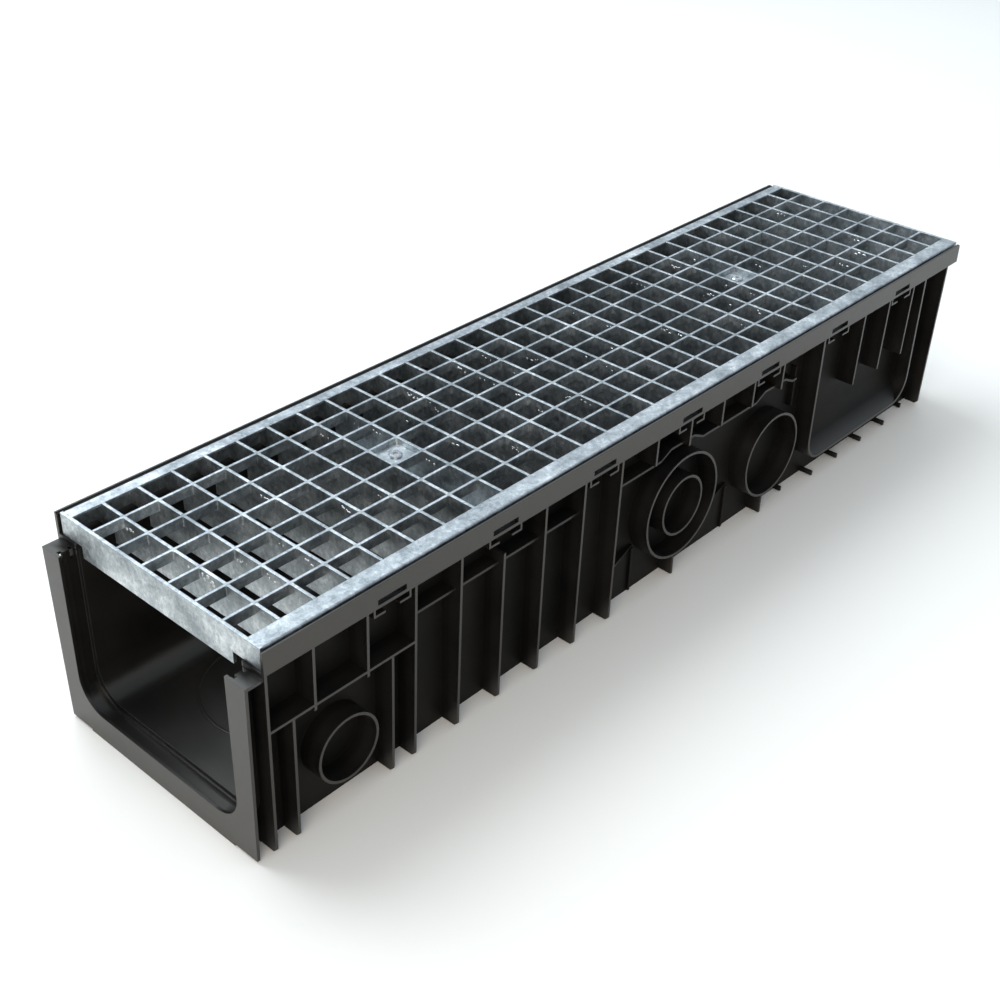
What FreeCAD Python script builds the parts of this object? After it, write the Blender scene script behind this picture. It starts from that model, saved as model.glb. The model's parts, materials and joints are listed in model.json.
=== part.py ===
import FreeCAD, Part
import math
import os
import re

import Sketcher
from FreeCAD import Rotation, Vector

# Plastic channel drain, one metre long, with a bolted mesh grating.
# Frame: +X along the channel from the socket collar to the tongue, +Z up, millimetres,
# origin at the middle of the base.

doc = FreeCAD.newDocument("channel_drain")

# ---------------------------------------------------------------- sizes

BAR_COUNT = 29
ROD_COUNT = 6
CLIP_COUNT = 7
RIB_COUNT = 17

# places along the channel, in rib pitches from the first full rib
LARGE_SPIGOT_BAYS = 6.965
MIDDLE_SPIGOT_BAYS = 9.98
FRAME_START_BAYS = 11.42
FRAME_END_BAYS = 15.535

# the locks' distance from the middle of the grating, in bar pitches
LOCK_STEPS = 7.5

# places of the ribs round the small spigot, as shares of the length before the first full rib
SHORT_RIB_SHARES = (0.304, 0.661)
LOWER_RIB_SHARES = (0.162, 0.833)

# half widths of the shelf's humps at their top and at their foot, in shelf rises
HUMP_TOP = 2.5
HUMP_FOOT = 4.6

SIZES = {
    # channel, along its length
    "body_length": 999,
    "rail_setback": 1.5,
    "tongue_length": 20.75,
    "collar_length": 16,
    # channel section
    "body_width": 250.6,
    "rail_width": 24.3,
    "wall_thickness": 3,
    "floor_height": 26,
    "floor_thickness": 3,
    "trough_radius": 28,
    "skirt_thickness": 2.5,
    # rails that hold the grating
    "lip_rise": 19.5,
    "lip_thickness": 3,
    "lip_rebate": 1.2,
    "lip_corner": 4,
    "seat_height": 177,
    "ledge_thickness": 3,
    "band_step": 1.5,
    # clip windows in the rails and the hooks below them
    "clip_start": 123.5,
    "clip_end": 121.6,
    "clip_length": 29.5,
    "clip_slot": 5,
    "clip_rise": 1.5,
    "hook_span": 39,
    "hook_reach": 12,
    "hook_drop": 7,
    "hook_thickness": 2,
    "hook_depth": 12,
    # ribs on the outside
    "rib_thickness": 2.5,
    "rib_start": 148.3,
    "rib_end": 24.83,
    "rib_taper": 3,
    "rib_corner": 3,
    "rib_clearance": 1,
    "short_rib_tail": 4,
    "stiff_rib_bottom": 103.5,
    "stiff_rib_rise": 5,
    "shelf_drop": 33,
    "shelf_edge": 6.7,
    "shelf_rise": 7,
    "shelf_setback": 12,
    "shallow_edge": 15,
    "low_rib_height": 50,
    "low_rib_edge": 18.8,
    "belt_height": 120.5,
    "bay_rib_length": 27.5,
    "panel_rib_length": 81.5,
    "web_height": 54,
    "fin_height": 6,
    "fin_edge": 5.7,
    "fin_setback": 7,
    # pipe spigots, named by the bore of the pipe
    "small_spigot_x": 75,
    "small_spigot_height": 60,
    "small_spigot_diameter": 62,
    "large_spigot_height": 83.5,
    "large_spigot_diameter": 110,
    "middle_spigot_height": 73,
    "middle_spigot_diameter": 91,
    "spigot_wall": 2.5,
    "pipe_clearance": 2,
    # frame for a cross connection
    "frame_height": 29,
    "frame_radius": 28,
    "frame_thickness": 3,
    "apron_rise": 42,
    "apron_bend": 13,
    "apron_radius": 40,
    # socket collar
    "post_drop": 4.5,
    "flange_thickness": 2.75,
    "flange_inset": 2,
    "flange_taper": 3.5,
    "foot_inset": 8,
    "socket_depth": 7,
    "socket_clearance": 1,
    "collar_wall": 3,
    "collar_slot": 3,
    "collar_slot_near": 4.6,
    "collar_slot_far": 13.88,
    "collar_slot_height": 9,
    # lugs that hold the lock bars
    "lug_reach": 5,
    "lug_length": 30,
    "lug_drop": 16,
    "lug_thickness": 5,
    # grating
    "bar_end": 31.334,
    "bar_thickness": 2.8,
    "bar_depth": 31,
    "bar_shoulder_right": 12.2,
    "bar_shoulder_left": 6.3,
    "rod_end": 27.35,
    "rod_thickness": 2.5,
    "rod_depth": 9.5,
    "rod_fit": 0.05,
    "edge_depth": 20,
    "strip_width_right": 16.2,
    "strip_width_left": 12.2,
    "plate_thickness": 3,
    "strip_thickness": 2,
    "strip_radius": 2,
    "side_gap": 2,
    "near_gap": 2,
    "far_gap": 1,
    # locks
    "lock_plate_depth": 5,
    "lock_plate_thickness": 3,
    "lock_plate_fit": 0.1,
    "lock_plate_notch": 6,
    "bolt_diameter": 8,
    "bolt_hole_clearance": 1,
    "bolt_head_diameter": 12,
    "bolt_head_height": 2.4,
    "bolt_head_bevel": 1,
    "bolt_socket": 4,
    "bolt_socket_depth": 1.92,
    "bolt_overrun": 1.5,
    "thread_gap": 0.1,
    "lock_bar_width": 25,
    "lock_bar_thickness": 8,
    "lock_bar_gap": 1.5,
    # how far joined solids run into each other, and cutters past what they cut
    "overlap": 1,
}

DERIVED = {
    "near_face": "(collar_length - body_length) / 2",
    "half_body": "body_width / 2",
    "half_inner": "body_width / 2 - rail_width",
    "half_outer": "half_inner + wall_thickness",
    "half_recess": "body_width / 2 - lip_thickness",
    "half_shelf": "body_width / 2 - shelf_edge",
    "half_shallow": "body_width / 2 - shallow_edge",
    "half_fin": "body_width / 2 - fin_edge",
    "half_low": "body_width / 2 - low_rib_edge",
    "half_socket": "half_outer + socket_clearance",
    "outer_radius": "trough_radius + wall_thickness",
    "floor_under": "floor_height - floor_thickness",
    "band_bottom": "seat_height - band_step",
    "ledge_bottom": "seat_height - ledge_thickness",
    "lip_height": "seat_height + lip_rise",
    "shelf_height": "seat_height - shelf_drop",
    "post_height": "seat_height - post_drop",
    "lug_height": "seat_height - lug_drop",
    "rail_length": "body_length - rail_setback",
    "clip_pitch": f"(rail_length - clip_start - clip_end) / {CLIP_COUNT - 1}",
    "rib_span": "body_length - tongue_length",
    "rib_pitch": f"(rib_span - rib_start - rib_end) / {RIB_COUNT - 1}",
    "rib_last": "rib_span - rib_thickness / 2",
    "large_spigot_x": f"rib_start + {LARGE_SPIGOT_BAYS} * rib_pitch",
    "middle_spigot_x": f"rib_start + {MIDDLE_SPIGOT_BAYS} * rib_pitch",
    "frame_start": f"rib_start + {FRAME_START_BAYS} * rib_pitch",
    "frame_length": f"{FRAME_END_BAYS - FRAME_START_BAYS:.3f} * rib_pitch",
    "grate_top": "seat_height + edge_depth",
    "grate_half": "half_recess - side_gap",
    "grate_length": "body_length - near_gap - far_gap",
    "grate_start": "near_face + near_gap",
    "grate_middle": "grate_start + grate_length / 2",
    "bar_pitch": f"(grate_length - 2 * bar_end) / {BAR_COUNT - 1}",
    "mesh_right": "strip_width_right - grate_half",
    "mesh_left": "grate_half - strip_width_left",
    "mesh_middle": "(mesh_left + mesh_right) / 2",
    "rod_pitch": f"(mesh_left - mesh_right - 2 * rod_end) / {ROD_COUNT - 1}",
    "deep_right": "bar_shoulder_right - half_inner",
    "deep_left": "half_inner - bar_shoulder_left",
    "lock_plate_top": "grate_top - lock_plate_depth",
    "lock_bar_height": "lug_height - lock_bar_thickness",
    "bolt_length": "lock_plate_top - lock_bar_height + bolt_overrun",
}

sheet = doc.addObject("Spreadsheet::Sheet", "sizes")
for row, (alias, size) in enumerate(list(SIZES.items()) + list(DERIVED.items()), start=1):
    sheet.set(f"A{row}", alias)
    sheet.set(f"B{row}", f"={size}" if alias in DERIVED else str(size))
    sheet.setAlias(f"B{row}", alias)
doc.recompute()

ALIASES = re.compile(r"\b(" + "|".join(sorted([*SIZES, *DERIVED], key=len, reverse=True)) + r")\b")


def cells(formula):
    """A formula in plain size names, written with references to the sheet."""
    return ALIASES.sub(r"sizes.\1", str(formula))


def value(formula):
    """What a formula in size names comes to now."""
    number = sheet.evalExpression(str(formula))
    return float(getattr(number, "Value", number))


def bind(thing, **formulas):
    """Binds properties to formulas. Double underscores stand for dots."""
    for name, formula in formulas.items():
        thing.setExpression(name.replace("__", "."), cells(formula))
    return thing


# ---------------------------------------------------------------- sketches and solids

PLAN = Rotation()
SECTION = Rotation(Vector(0, 1, 0), Vector(0, 0, 1), Vector(1, 0, 0), "ZXY")
ELEVATION = Rotation(Vector(1, 0, 0), Vector(0, 0, 1), Vector(0, -1, 0), "ZXY")


def dimension(sketch, geometry, end, across, up):
    """Dimensions one point of a sketch from its origin."""
    for kind, formula in (("DistanceX", across), ("DistanceY", up)):
        rule = Sketcher.Constraint(kind, -1, 1, geometry, end, value(formula))
        sketch.setExpression(f"Constraints[{sketch.addConstraint(rule)}]", cells(formula))


def size_radius(sketch, geometry, radius):
    """Dimensions the radius of an arc or a circle."""
    rule = Sketcher.Constraint("Radius", geometry, value(radius))
    sketch.setExpression(f"Constraints[{sketch.addConstraint(rule)}]", cells(radius))


def round_corner(before, corner, after, radius):
    """The arc that rounds a corner, and whether it runs from the line before to the line after."""
    arriving = (corner - before).normalize()
    leaving = (after - corner).normalize()
    reach = radius * math.tan(arriving.getAngle(leaving) / 2)
    start = corner - arriving * reach
    finish = corner + leaving * reach
    left_turn = arriving.cross(leaving).z > 0
    inward = Vector(-arriving.y, arriving.x, 0) * (1 if left_turn else -1)
    centre = start + inward * radius
    first, last = (start, finish) if left_turn else (finish, start)
    angles = [math.atan2(point.y - centre.y, point.x - centre.x) for point in (first, last)]
    if angles[1] < angles[0]:
        angles[1] += 2 * math.pi
    arc = Part.ArcOfCircle(Part.Circle(centre, Vector(0, 0, 1), radius), *angles)
    return arc, start, finish, left_turn


def draw_outline(sketch, corners):
    """Draws a closed outline. A corner is (across, up), or (across, up, radius) to round it."""
    points = [Vector(value(corner[0]), value(corner[1]), 0) for corner in corners]
    rounds = {}
    for index, corner in enumerate(corners):
        if len(corner) == 3:
            after = points[(index + 1) % len(points)]
            rounds[index] = round_corner(points[index - 1], points[index], after, value(corner[2]))
    starts = [rounds[i][2] if i in rounds else point for i, point in enumerate(points)]
    ends = [rounds[i][1] if i in rounds else point for i, point in enumerate(points)]
    sides = [Part.LineSegment(starts[i], ends[(i + 1) % len(points)]) for i in range(len(points))]
    lines = sketch.addGeometry(sides, False)
    for index, corner in enumerate(corners):
        before, after = lines[index - 1], lines[index]
        if index not in rounds:
            sketch.addConstraint(Sketcher.Constraint("Coincident", before, 2, after, 1))
            dimension(sketch, after, 1, corner[0], corner[1])
            continue
        arc, _, _, forward = rounds[index]
        bend = sketch.addGeometry(arc, False)
        apex = sketch.addGeometry(Part.Point(points[index]), True)
        dimension(sketch, apex, 1, corner[0], corner[1])
        sketch.addConstraint([
            Sketcher.Constraint("PointOnObject", apex, 1, before),
            Sketcher.Constraint("PointOnObject", apex, 1, after),
            Sketcher.Constraint("Tangent", before, 2, bend, 1 if forward else 2),
            Sketcher.Constraint("Tangent", after, 1, bend, 2 if forward else 1),
        ])
        size_radius(sketch, bend, corner[2])


def draw_circle(sketch, across, up, radius):
    """Draws a circle."""
    circle = Part.Circle(Vector(value(across), value(up), 0), Vector(0, 0, 1), value(radius))
    index = sketch.addGeometry(circle, False)
    dimension(sketch, index, 3, across, up)
    size_radius(sketch, index, radius)


def draw(sketch, outlines=(), circles=()):
    """Draws outlines and circles in a sketch."""
    for corners in outlines:
        draw_outline(sketch, corners)
    for circle in circles:
        draw_circle(sketch, *circle)
    return sketch


def new_sketch(name, turn, outlines=(), circles=(), at_x="0", at_z="0"):
    """A sketch that stands by itself, turned to look along one axis."""
    sketch = doc.addObject("Sketcher::SketchObject", name)
    sketch.Placement = FreeCAD.Placement(Vector(), turn)
    bind(sketch, Placement__Base__x=at_x, Placement__Base__z=at_z)
    return draw(sketch, outlines, circles)


def extrude(name, sketch, length, symmetric=False):
    """A solid made by extruding a sketch."""
    solid = doc.addObject("Part::Extrusion", name)
    solid.Base = sketch
    solid.DirMode = "Normal"
    solid.Solid = True
    solid.Symmetric = symmetric
    solid.FaceMakerClass = "Part::FaceMakerBullseye"
    return bind(solid, LengthFwd=length)


def along(name, outlines, start, length, circles=()):
    """A cross-section drawn as (across, up), extruded along the channel from a start."""
    sketch = new_sketch(f"{name}_section", SECTION, outlines, circles, at_x=f"near_face + {start}")
    return extrude(name, sketch, length)


def across(name, outlines, half_width, circles=()):
    """A side view drawn as (from the near face, up), extruded across the channel's whole width."""
    sketch = new_sketch(f"{name}_elevation", ELEVATION, outlines, circles, at_x="near_face")
    return extrude(name, sketch, f"2 * ({half_width})", symmetric=True)


def box(name, low, sizes):
    """A box from its low corner and its sizes."""
    solid = doc.addObject("Part::Box", name)
    bind(solid, Length=sizes[0], Width=sizes[1], Height=sizes[2])
    return bind(solid, Placement__Base__x=low[0], Placement__Base__y=low[1], Placement__Base__z=low[2])


def slab(name, start, length, bottom, top, half_width):
    """A plate across the channel, placed from the near face."""
    low = (f"near_face + {start}", f"-({half_width})", bottom)
    return box(name, low, (length, f"2 * ({half_width})", f"{top} - ({bottom})"))


def rib(name, middle, bottom="rib_clearance", top="band_bottom", half_width="half_body"):
    """A rib across the channel, placed by its middle."""
    start = f"{middle} - rib_thickness / 2"
    return slab(name, start, "rib_thickness", bottom, top, half_width)


def combine(kind, name, solids):
    """A fusion or an intersection of several solids."""
    result = doc.addObject(f"Part::Multi{kind}", name)
    result.Shapes = solids
    result.Refine = True
    return result


def cut(name, base, tool):
    """One solid with another taken out of it."""
    result = doc.addObject("Part::Cut", name)
    result.Base = base
    result.Tool = tool
    result.Refine = True
    return result


def right_side(name, solid, limit):
    """What a solid has on the right of a limit."""
    low = ("near_face - overlap", limit, "0")
    return cut(name, solid, box(f"{name}_rest", low, ("body_length", "body_width", "lip_height")))


def rectangle(left, right, bottom, top):
    """The corners of a rectangle."""
    return [(left, bottom), (right, bottom), (right, top), (left, top)]


def both_sides(corners):
    """An outline drawn for the +Y side, and its mirror image on the other."""
    return [corners, [(f"-({corner[0]})", *corner[1:]) for corner in reversed(corners)]]


# ---------------------------------------------------------------- channel body

def trough_outline(half_width, bottom, top, radius):
    """The U of the trough, closed at its top."""
    low = f"-({half_width})"
    return [(low, bottom, radius), (half_width, bottom, radius), (half_width, top), (low, top)]


def trough():
    """The outside of the trough, the webs it stands on and the plain tongue at its far end."""
    outside = trough_outline("half_outer", "floor_under", "seat_height", "outer_radius")
    tongue = trough_outline("half_outer", "floor_under", "post_height", "outer_radius")
    skirt = rectangle("half_outer - skirt_thickness", "half_outer", "0", "web_height")
    return [
        along("trough_block", [outside], "0", "rail_length"),
        along("tongue_block", [tongue], "rib_span", "body_length - rib_span"),
        along("skirts", both_sides(skirt), "0", "rib_span"),
    ]


def below_spigot(spigot):
    """How high a rib may reach below a spigot, so that a pipe still goes over it."""
    return f"{spigot}_spigot_height - {spigot}_spigot_diameter / 2 - pipe_clearance"


def rib_at(count):
    """The middle of a rib, counted from the first full one."""
    return f"(rib_start + {count} * rib_pitch)"


def side_ribs():
    """The deep ribs, trimmed to one tapered outline, seen from the end."""
    ribs = [
        rib("near_rib", "rib_thickness / 2"),
        rib("far_rib", "rib_last"),
        slab("belt_rib", "0", "rib_start", "belt_height", "belt_height + rib_thickness", "half_body"),
    ]
    for number, share in enumerate(SHORT_RIB_SHARES, start=1):
        middle = f"{share} * rib_start"
        ribs.append(rib(f"short_rib_{number}", middle, bottom="belt_height - short_rib_tail"))
    for number, share in enumerate(LOWER_RIB_SHARES, start=1):
        ribs.append(rib(f"lower_rib_{number}", f"{share} * rib_start", top="belt_height + overlap"))
    for count in range(6):
        top = "band_bottom - hook_drop - bay_rib_length / 2" if count == 2 else "band_bottom"
        ribs.append(rib(f"full_rib_{count + 1}", rib_at(count), top=top))
    for count in range(6, 11):
        bottom = "band_bottom - bay_rib_length"
        ribs.append(rib(f"bay_rib_{count - 5}", rib_at(count), bottom=bottom))
    for count in range(13, 16):
        bottom = "band_bottom - panel_rib_length"
        ribs.append(rib(f"panel_rib_{count - 12}", rib_at(count), bottom=bottom))
    edge = "half_body - rib_taper"
    right = [
        ("-half_body", "band_bottom"),
        (f"-({edge})", "rib_clearance + rib_corner"),
        (f"rib_corner - ({edge})", "rib_clearance"),
    ]
    left = [(f"-({corner[0]})", corner[1]) for corner in reversed(right)]
    shape = along("rib_envelope", [right + left], "0", "rib_span")
    return combine("Common", "side_ribs", [combine("Fuse", "rib_slabs", ribs), shape])


def shelf_hump(spigot):
    """The rise of the shelf over a spigot, as corners along its top."""
    middle = f"{spigot}_spigot_x"
    return [
        (f"{middle} - {HUMP_FOOT} * shelf_rise", "shelf_height"),
        (f"{middle} - {HUMP_TOP} * shelf_rise", "shelf_height + shelf_rise"),
        (f"{middle} + {HUMP_TOP} * shelf_rise", "shelf_height + shelf_rise"),
        (f"{middle} + {HUMP_FOOT} * shelf_rise", "shelf_height"),
    ]


def shelves():
    """The level ribs below the rails, which rise over the two larger spigots."""
    top = [(rib_at(5), "shelf_height"), *shelf_hump("large"), *shelf_hump("middle")]
    top.append((f"({rib_at(11)} - shelf_setback)", "shelf_height"))
    under = [(corner[0], f"{corner[1]} - rib_thickness", *corner[2:]) for corner in reversed(top)]
    straight = slab("shelf_near", rib_at(0), "4 * rib_pitch", "shelf_height - rib_thickness",
                    "shelf_height", "half_shelf")
    return [straight, across("shelf_far", [top + under], "half_shelf")]


def base_webs():
    """The ribs under the floor, between the two webs that the trough stands on."""
    middles = ["rib_thickness / 2", "rib_last"]
    return [rib(f"base_web_{number}", middle, top="web_height",
                half_width="half_outer - skirt_thickness / 2")
            for number, middle in enumerate(middles, start=1)]


def shallow_ribs():
    """The low ribs on the trough's wall and the fins along the base."""
    ribs = [
        rib("low_rib_1", rib_at(6), top="low_rib_height", half_width="half_low"),
        rib("low_rib_2", rib_at(9), top="low_rib_height", half_width="half_low"),
        rib("low_rib_3", rib_at(7), top=below_spigot("large"), half_width="half_fin"),
        rib("low_rib_4", rib_at(10), top=below_spigot("middle"), half_width="half_fin"),
        rib("stiff_rib", rib_at(11), bottom="stiff_rib_bottom",
            top="shelf_height + stiff_rib_rise", half_width="half_shallow"),
    ]
    for count in range(11, 17):
        half_width = "half_fin" if 12 <= count <= 15 else "half_fin - fin_setback"
        ribs.append(rib(f"base_fin_{count - 10}", rib_at(count), top="fin_height", half_width=half_width))
    return ribs


def rails():
    """The two rails, with their far top corners rounded, and the ledges the grating sits on."""
    side = [
        ("0", "band_bottom"),
        ("rail_length", "band_bottom"),
        ("rail_length", "lip_height", "lip_corner"),
        ("0", "lip_height"),
    ]
    ledge = slab("ledges", "0", "rail_length", "ledge_bottom", "seat_height", "half_recess")
    return [across("rail_slab", [side], "half_body"), ledge]


def clip_middles():
    """The middle of each clip window along the rail."""
    return [f"(clip_start + {count} * clip_pitch)" for count in range(CLIP_COUNT)]


def clip_hooks():
    """The pairs of angled hooks below each clip window, on the right side."""
    hooks = []
    bottom = "band_bottom - hook_drop"
    for number, middle in enumerate(clip_middles(), start=1):
        ends = {
            "near": (f"{middle} - hook_span / 2", f"{middle} - hook_span / 2"),
            "far": (f"{middle} + hook_span / 2 - hook_thickness", f"{middle} + hook_span / 2 - hook_reach"),
        }
        for end, (post, arm) in ends.items():
            name = f"hook_{number}_{end}"
            top = "band_bottom + overlap"
            hooks.append(slab(f"{name}_post", post, "hook_thickness", bottom, top, "half_body"))
            top = f"{bottom} + hook_thickness"
            hooks.append(slab(f"{name}_arm", arm, "hook_reach", bottom, top, "half_body"))
    return right_side("clip_hooks", combine("Fuse", "hook_slabs", hooks), "hook_depth - half_body")


def spigots():
    """The pipe spigots on the right side, with the smallest one again inside the largest."""
    bores = [(spigot, spigot) for spigot in ("small", "middle", "large")] + [("large", "small")]
    rings = []
    for place, bore in bores:
        for wall in ("0", "spigot_wall"):
            radius = f"{bore}_spigot_diameter / 2 - {wall}"
            rings.append((f"{place}_spigot_x", f"{place}_spigot_height", radius))
    return right_side("spigots", across("spigot_tubes", [], "half_body", circles=rings), "0")


def frame_outline(inset, top):
    """The U of the cross-connection frame, at an inset from its outside."""
    near = f"frame_start + {inset}"
    far = f"frame_start + frame_length - {inset}"
    bottom = f"frame_height + {inset}"
    radius = f"frame_radius - {inset}"
    return [(near, top), (near, bottom, radius), (far, bottom, radius), (far, top)]


def cross_frame():
    """The frame for a cross connection and the apron that curves out of the wall to its foot."""
    outside = frame_outline("0", "band_bottom")
    inside = frame_outline("frame_thickness", "band_bottom")
    rim = across("frame_rim", [outside + inside[::-1]], "half_body")
    foot = "frame_height + frame_thickness"
    apron = [
        ("half_body", "frame_height"),
        ("half_body", foot),
        ("half_outer", f"{foot} + apron_bend", "apron_radius"),
        ("half_outer", f"{foot} + apron_rise"),
        ("half_inner + overlap", f"{foot} + apron_rise"),
        ("half_inner + overlap", "frame_height + apron_bend"),
    ]
    sheet_solid = along("apron_sheet", both_sides(apron), "frame_start", "frame_length")
    trimmed = combine("Common", "apron", [sheet_solid, across("frame_fill", [outside], "half_body")])
    return [rim, trimmed]


def side_features():
    """Everything that stands on the outside of the trough's walls, cleared from between them."""
    across_channel = [side_ribs(), *shelves(), *shallow_ribs(), clip_hooks(), spigots(), *cross_frame()]
    core = slab("wall_core", "-overlap", "body_length", "-overlap", "ledge_bottom", "half_outer - overlap")
    return cut("side_features", combine("Fuse", "side_slabs", across_channel), core)


def collar():
    """The socket collar at the near end: a flange, the socket's wall and the tops of its posts."""
    top_edge = "half_body - flange_inset"
    flange = [
        (f"-({top_edge})", "post_height"),
        (f"flange_taper - ({top_edge})", "flange_inset"),
        ("foot_inset - half_inner", "flange_inset"),
        ("foot_inset - half_inner", "0"),
        ("half_inner - foot_inset", "0"),
        ("half_inner - foot_inset", "flange_inset"),
        (f"{top_edge} - flange_taper", "flange_inset"),
        (top_edge, "post_height"),
    ]
    shell = trough_outline("half_socket + collar_wall", "floor_height - socket_depth - collar_wall",
                           "post_height", "outer_radius + socket_clearance + collar_wall")
    post_top = rectangle("half_socket", top_edge, "post_height - flange_thickness", "post_height")
    return [
        along("collar_flange", [flange], "-collar_length", "flange_thickness"),
        along("collar_shell", [shell], "-collar_length", "collar_length"),
        along("collar_post_tops", both_sides(post_top), "-collar_length", "collar_length"),
    ]


def hollows():
    """What is left open: the trough, the socket, the recess for the grating and the clip windows."""
    above = "lip_height + overlap"
    inside = trough_outline("half_inner", "floor_height", above, "trough_radius")
    socket = trough_outline("half_socket", "floor_height - socket_depth", "post_height",
                            "outer_radius + socket_clearance")
    step = "lip_height - lip_rebate"
    wide = "half_recess + lip_rebate"
    recess = [
        ("-half_recess", "seat_height"), ("half_recess", "seat_height"), ("half_recess", step),
        (wide, step), (wide, above), (f"-({wide})", above), (f"-({wide})", step), ("-half_recess", step),
    ]
    room = "body_length + 2 * collar_length"
    tools = [
        along("trough_space", [inside], "-2 * collar_length", f"2 * ({room})"),
        along("socket_space", [socket], "flange_thickness - collar_length",
              "collar_length - flange_thickness + rib_thickness"),
        along("grating_recess", [recess], "-overlap", room),
    ]
    for number, middle in enumerate(clip_middles(), start=1):
        tools.append(slab(f"clip_window_{number}", f"{middle} - clip_length / 2", "clip_length",
                          "seat_height + clip_rise", "seat_height + clip_rise + clip_slot", "body_width"))
    for number, middle in enumerate(("collar_slot_near", "collar_slot_far"), start=1):
        start = f"{middle} - collar_length - collar_slot / 2"
        tools.append(slab(f"collar_slot_{number}", start, "collar_slot",
                          "post_height - collar_slot_height", "post_height", "half_socket + collar_wall"))
    return combine("Fuse", "hollows", tools)


def lock_middles():
    """The middle of each lock along the grating, half way between two bars."""
    return {"near": f"(grate_middle - {LOCK_STEPS} * bar_pitch)",
            "far": f"(grate_middle + {LOCK_STEPS} * bar_pitch)"}


def lock_lugs():
    """The lugs inside the walls that the lock bars pull up against."""
    corners = [
        ("half_inner - lug_reach", "lug_height"),
        ("half_inner + overlap", "lug_height"),
        ("half_inner + overlap", "lug_height + lug_thickness + lug_reach + overlap"),
        ("half_inner - lug_reach", "lug_height + lug_thickness"),
    ]
    lugs = []
    for place, middle in lock_middles().items():
        start = f"{middle} - near_face - lug_length / 2"
        lugs.append(along(f"lug_{place}", both_sides(corners), start, "lug_length"))
    return lugs


def channel_body():
    """The moulded channel, in one piece."""
    solids = [*trough(), *base_webs(), side_features(), *rails(), *collar()]
    moulding = cut("open_moulding", combine("Fuse", "closed_moulding", solids), hollows())
    return combine("Fuse", "channel_body", [moulding, *lock_lugs()])


# ---------------------------------------------------------------- grating

def bar_corners(notch):
    """The outline of a bar or an end plate, slotted from above and shouldered to sit on the ledges."""
    end = "grate_half - strip_thickness" if notch else "grate_half"
    deep = "grate_top - bar_depth"
    corners = [
        (f"-({end})", "seat_height"), ("deep_right", "seat_height"), ("deep_right", deep),
        ("deep_left", deep), ("deep_left", "seat_height"), (end, "seat_height"),
    ]
    if not notch:
        return corners + [(end, "grate_top"), (f"-({end})", "grate_top")]
    under = "grate_top - strip_thickness"
    corners += [(end, under), ("mesh_left", under), ("mesh_left", "grate_top")]
    for middle in reversed(rod_middles()):
        left = f"{middle} + rod_thickness / 2 + rod_fit"
        right = f"{middle} - rod_thickness / 2 - rod_fit"
        floor = "grate_top - rod_depth"
        corners += [(left, "grate_top"), (left, floor), (right, floor), (right, "grate_top")]
    return corners + [("mesh_right", "grate_top"), ("mesh_right", under), (f"-({end})", under)]


def rod_middles():
    """The middle of each cross rod, spaced evenly about the middle of the mesh."""
    return [f"(mesh_middle + {number - (ROD_COUNT - 1) / 2} * rod_pitch)" for number in range(ROD_COUNT)]


def bearing_bars():
    """The deep bars across the grating, all from one sketch."""
    sketch = new_sketch("bar_section", SECTION, [bar_corners(notch=True)])
    bars = []
    for number in range(BAR_COUNT):
        bar = extrude(f"bearing_bar_{number + 1:02d}", sketch, "bar_thickness")
        middle = f"grate_middle + {number - (BAR_COUNT - 1) / 2} * bar_pitch"
        bars.append(bind(bar, Placement__Base__x=f"{middle} - bar_thickness / 2"))
    return bars


def cross_rods():
    """The shallow rods along the grating, pressed into the bars' slots and flush with their tops."""
    rods = []
    for number, middle in enumerate(rod_middles(), start=1):
        low = ("grate_start + plate_thickness", f"{middle} - rod_thickness / 2", "grate_top - rod_depth")
        sizes = ("grate_length - 2 * plate_thickness", "rod_thickness", "rod_depth")
        rods.append(box(f"cross_rod_{number}", low, sizes))
    return rods


def end_plates():
    """The plates that close the grating at its two ends."""
    sketch = new_sketch("end_plate_section", SECTION, [bar_corners(notch=False)])
    near = extrude("end_plate_near", sketch, "plate_thickness")
    far = extrude("end_plate_far", sketch, "plate_thickness")
    bind(near, Placement__Base__x="grate_start")
    bind(far, Placement__Base__x="grate_start + grate_length - plate_thickness")
    return [near, far]


def edge_strips():
    """The folded strips along the grating's sides."""
    strips = []
    for hand, side in (("right", "-"), ("left", "")):
        name, inner = f"edge_strip_{hand}", f"mesh_{hand}"
        outer = f"{side}(grate_half)"
        leg = f"{side}(grate_half - strip_thickness)"
        corners = [
            (outer, "seat_height"), (leg, "seat_height"), (leg, "grate_top - strip_thickness"),
            (inner, "grate_top - strip_thickness"), (inner, "grate_top"),
            (outer, "grate_top", "strip_radius"),
        ]
        start = "near_gap + plate_thickness"
        strips.append(along(name, [corners], start, "grate_length - 2 * plate_thickness"))
    return strips


# ---------------------------------------------------------------- locks

def lock_plate(place, middle):
    """The plate that fills one cell of the grating, notched at one corner and bored for the bolt."""
    half_length = "(bar_pitch - bar_thickness) / 2 - lock_plate_fit"
    half_width = "(rod_pitch - rod_thickness) / 2 - lock_plate_fit"
    near, far = f"{middle} - ({half_length})", f"{middle} + {half_length}"
    right, left = f"mesh_middle - ({half_width})", f"mesh_middle + {half_width}"
    corners = [
        (near, f"{right} + lock_plate_notch"),
        (f"{near} + lock_plate_notch", f"{right} + lock_plate_notch"),
        (f"{near} + lock_plate_notch", right),
        (far, right), (far, left), (near, left),
    ]
    hole = (middle, "mesh_middle", "(bolt_diameter + bolt_hole_clearance) / 2")
    sketch = new_sketch(f"lock_plate_{place}_plan", PLAN, [corners], [hole],
                        at_z="lock_plate_top - lock_plate_thickness")
    return extrude(f"lock_plate_{place}", sketch, "lock_plate_thickness")


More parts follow.
